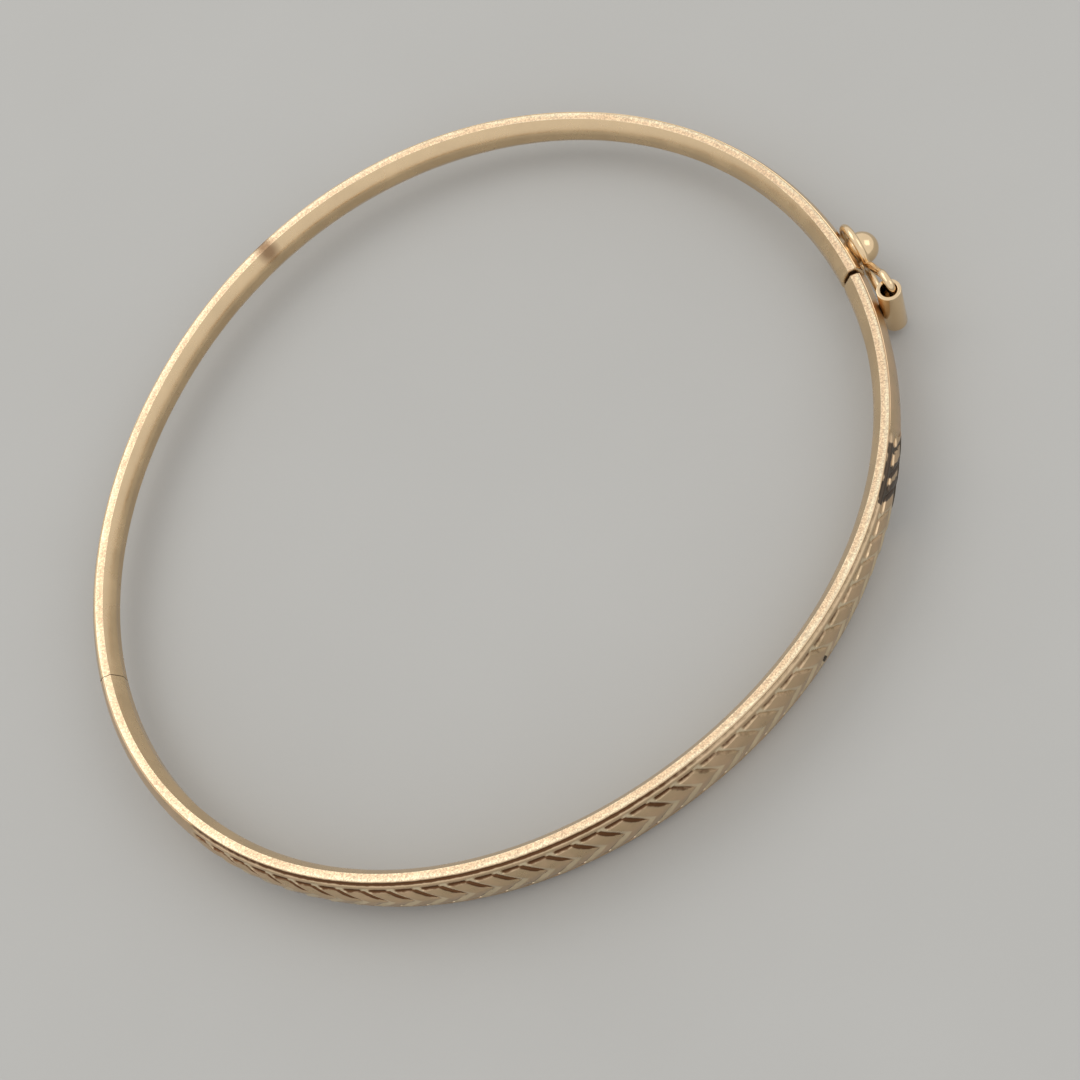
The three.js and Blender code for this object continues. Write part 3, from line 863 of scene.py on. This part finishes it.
def make_tubes():
    low, high = node_span("catch_tube")
    profile = tube_profile(node_radius("catch_tube"), TUBE_BORE, low, high, TUBE_RIM_ROUNDING)
    tube = upright_tube("catch_tube_smooth", CATCH, profile, 72, "catch")
    stand_in(tube, "catch_tube", "front_half")
    for node, body in (
        ("front_knuckle", "front_half"),
        ("back_knuckle_upper", "back_half"),
        ("back_knuckle_lower", "back_half"),
    ):
        low, high = node_span(node)
        profile = tube_profile(node_radius(node), KNUCKLE_BORE, low, high, KNUCKLE_RIM_ROUNDING)
        stand_in(upright_tube(node + "_smooth", HINGE, profile, 48, "filed"), node, body)


def make_ball():
    """Ball whose base sits on the crown of the band."""
    point, out, along = wall_frame(BALL_ANGLE)
    low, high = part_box("stud_ball")
    radius = (high.z - low.z) / 2
    rings, sides = 40, 64
    vertices = []
    for lat in np.linspace(0, math.pi, rings + 1):
        for turn in np.linspace(0, 2 * math.pi, sides, endpoint=False):
            sideways = radius * math.sin(lat) * math.cos(turn) / MM
            height = radius * math.sin(lat) * math.sin(turn) / MM
            depth = BALL_DEPTH + radius * math.cos(lat) / MM
            depth = max(depth, float(crown_depth(height, END_HALF_HEIGHT)) + FIT)
            plan = (point + out * depth + along * sideways) * MM
            vertices.append((CENTRE[0] + plan[0], CENTRE[1] + plan[1], CENTRE[2] + height * MM))
    ball = mesh_object("stud_ball_smooth", vertices, ring_faces(rings + 1, sides), ["catch"])
    work = bmesh.new()
    work.from_mesh(ball.data)
    bmesh.ops.remove_doubles(work, verts=work.verts, dist=1e-7)
    work.to_mesh(ball.data)
    work.free()
    finish_mesh(ball, 40)
    stand_in(ball, "stud_ball", "back_half")


# ---------------------------------------------------------------- catch wire

LOOP_CENTRE = band_place(LOOP_ANGLE, LOOP_DEPTH, 0.0)
IN_TUBE = band_place(TUBE_ANGLE, TUBE_DEPTH + WIRE_OUTWARDS, 0.0)
LOOP_SPAN = Vector(LOOP_CENTRE - IN_TUBE).length / MM
WIRE_HEADING = Vector(LOOP_CENTRE - IN_TUBE).normalized()
WIRE_SIDE = WIRE_HEADING.cross(Vector((0, 0, 1))).normalized()


def wire_place(along, height):
    return Vector(IN_TUBE) + WIRE_HEADING * along * MM + Vector((0, 0, height * MM))


def closed_wire(name, points, sides):
    """Round wire of constant radius along a closed run of points in the plane of the catch."""
    n = len(points)
    points = [Vector(p) for p in points]
    vertices = []
    for i, p in enumerate(points):
        ahead = (points[(i + 1) % n] - points[i - 1]).normalized()
        up = ahead.cross(WIRE_SIDE).normalized()
        for k in range(sides):
            turn = 2 * math.pi * k / sides
            vertices.append(p + (WIRE_SIDE * math.cos(turn) + up * math.sin(turn)) * WIRE_RADIUS * MM)
    made = mesh_object(name, vertices, ring_faces(n, sides, closed=True), ["catch"])
    finish_mesh(made, 60)
    return made


def catmull_rom(points, steps):
    """Closed smooth run through the points with centripetal spacing."""
    n = len(points)
    out = []
    for i in range(n):
        p0, p1, p2, p3 = (np.array(points[(i + k) % n], float) for k in (-1, 0, 1, 2))
        t1 = math.sqrt(np.linalg.norm(p1 - p0))
        t2 = t1 + math.sqrt(np.linalg.norm(p2 - p1))
        t3 = t2 + math.sqrt(np.linalg.norm(p3 - p2))
        for t in np.linspace(t1, t2, steps, endpoint=False):
            a1 = p0 * (t1 - t) / t1 + p1 * t / t1
            a2 = p1 * (t2 - t) / (t2 - t1) + p2 * (t - t1) / (t2 - t1)
            a3 = p2 * (t3 - t) / (t3 - t2) + p3 * (t - t2) / (t3 - t2)
            b1 = a1 * (t2 - t) / t2 + a2 * t / t2
            b2 = a2 * (t3 - t) / (t3 - t1) + a3 * (t - t1) / (t3 - t1)
            out.append(b1 * (t2 - t) / (t2 - t1) + b2 * (t - t1) / (t2 - t1))
    return out


def small_loop_side(rim, waist):
    """Route of the wire from inside the tube, over a rim at this height, to the waist."""
    return [
        (-WIRE_BACK, rim - 0.2), (0.1, rim + 0.29), (0.55, rim + 0.4), (1.1, rim + 0.36),
        (1.6, rim - 0.1), (waist - 0.5, 0.9), (waist - 0.04, 0.2),
    ]


def make_wire():
    low, high = node_span("catch_tube")
    waist = LOOP_SPAN - LOOP_RADIUS
    lower = [(x, -z) for x, z in reversed(small_loop_side(-low, waist))]
    route = [(-WIRE_BACK, 0.0)] + small_loop_side(high, waist) + lower
    wire = closed_wire("catch_wire_smooth", [wire_place(x, z) for x, z in catmull_rom(route, 10)], 20)
    turns = np.linspace(0, 2 * math.pi, 96, endpoint=False)
    ring_points = [
        wire_place(LOOP_SPAN + LOOP_RADIUS * math.cos(t), LOOP_RADIUS * math.sin(t)) for t in turns
    ]
    combine(wire, closed_wire("ring", ring_points, 20), "UNION")
    stand_in(wire, "catch_wire", "safety_catch")


def finish_cad_nodes():
    """Fittings whose CAD shape stays: end plates, tongue, hinge plates, pin and post."""
    # End and hinge plates take the painted shade of the gaps.
    keys = {
        "front_mouth_plate": "ends", "back_end_plate": "ends", "front_hinge_plate": "ends",
        "back_hinge_plate": "ends", "tongue": "filed", "hinge_pin": "filed", "stud_post": "catch",
    }
    for name, key in keys.items():
        node = frame["nodes"][name]
        node.data.materials.clear()
        node.data.materials.append(MATERIALS[key])


# ---------------------------------------------------------------- stage and light

FLOOR_REACH = 3000.0
FLOOR_DROP = 0.02


def make_floor():
    size = FLOOR_REACH * MM
    z = CAD_BOX[0][2] - FLOOR_DROP * MM
    data = bpy.data.meshes.new("floor")
    corners = [(-size, -size, z), (size, -size, z), (size, size, z), (-size, size, z)]
    data.from_pydata(corners, [], [(0, 1, 2, 3)])
    data.materials.append(pale_floor())
    floor = bpy.data.objects.new("floor", data)
    bpy.context.scene.collection.objects.link(floor)


def area_light(name, place, size, power, colour):
    """Soft light at a place in metres, turned towards the middle of the band."""
    data = bpy.data.lights.new(name, "AREA")
    data.shape = "RECTANGLE"
    data.size, data.size_y = size
    data.energy = power
    data.color = colour
    light = bpy.data.objects.new(name, data)
    bpy.context.scene.collection.objects.link(light)
    light.location = place
    light.rotation_euler = (Vector(CENTRE) - Vector(place)).to_track_quat("-Z", "Y").to_euler()


def make_light():
    world = bpy.data.worlds.new("studio")
    bpy.context.scene.world = world
    world.use_nodes = True
    background = world.node_tree.nodes["Background"]
    background.inputs["Color"].default_value = (0.97, 0.98, 1.0, 1)
    background.inputs["Strength"].default_value = 0.93
    area_light("key", (-0.22, 0.38, 0.5), (0.5, 0.35), 0.8, (1.0, 0.98, 0.95))
    area_light("fill", (0.45, -0.1, 0.5), (0.4, 0.4), 0.4, (0.97, 0.98, 1.0))
    bpy.context.scene.view_settings.view_transform = "Standard"


# ---------------------------------------------------------------- assembly

make_camera()
make_shells()
make_liners()
make_tubes()
make_ball()
make_wire()
finish_cad_nodes()
make_floor()
make_light()
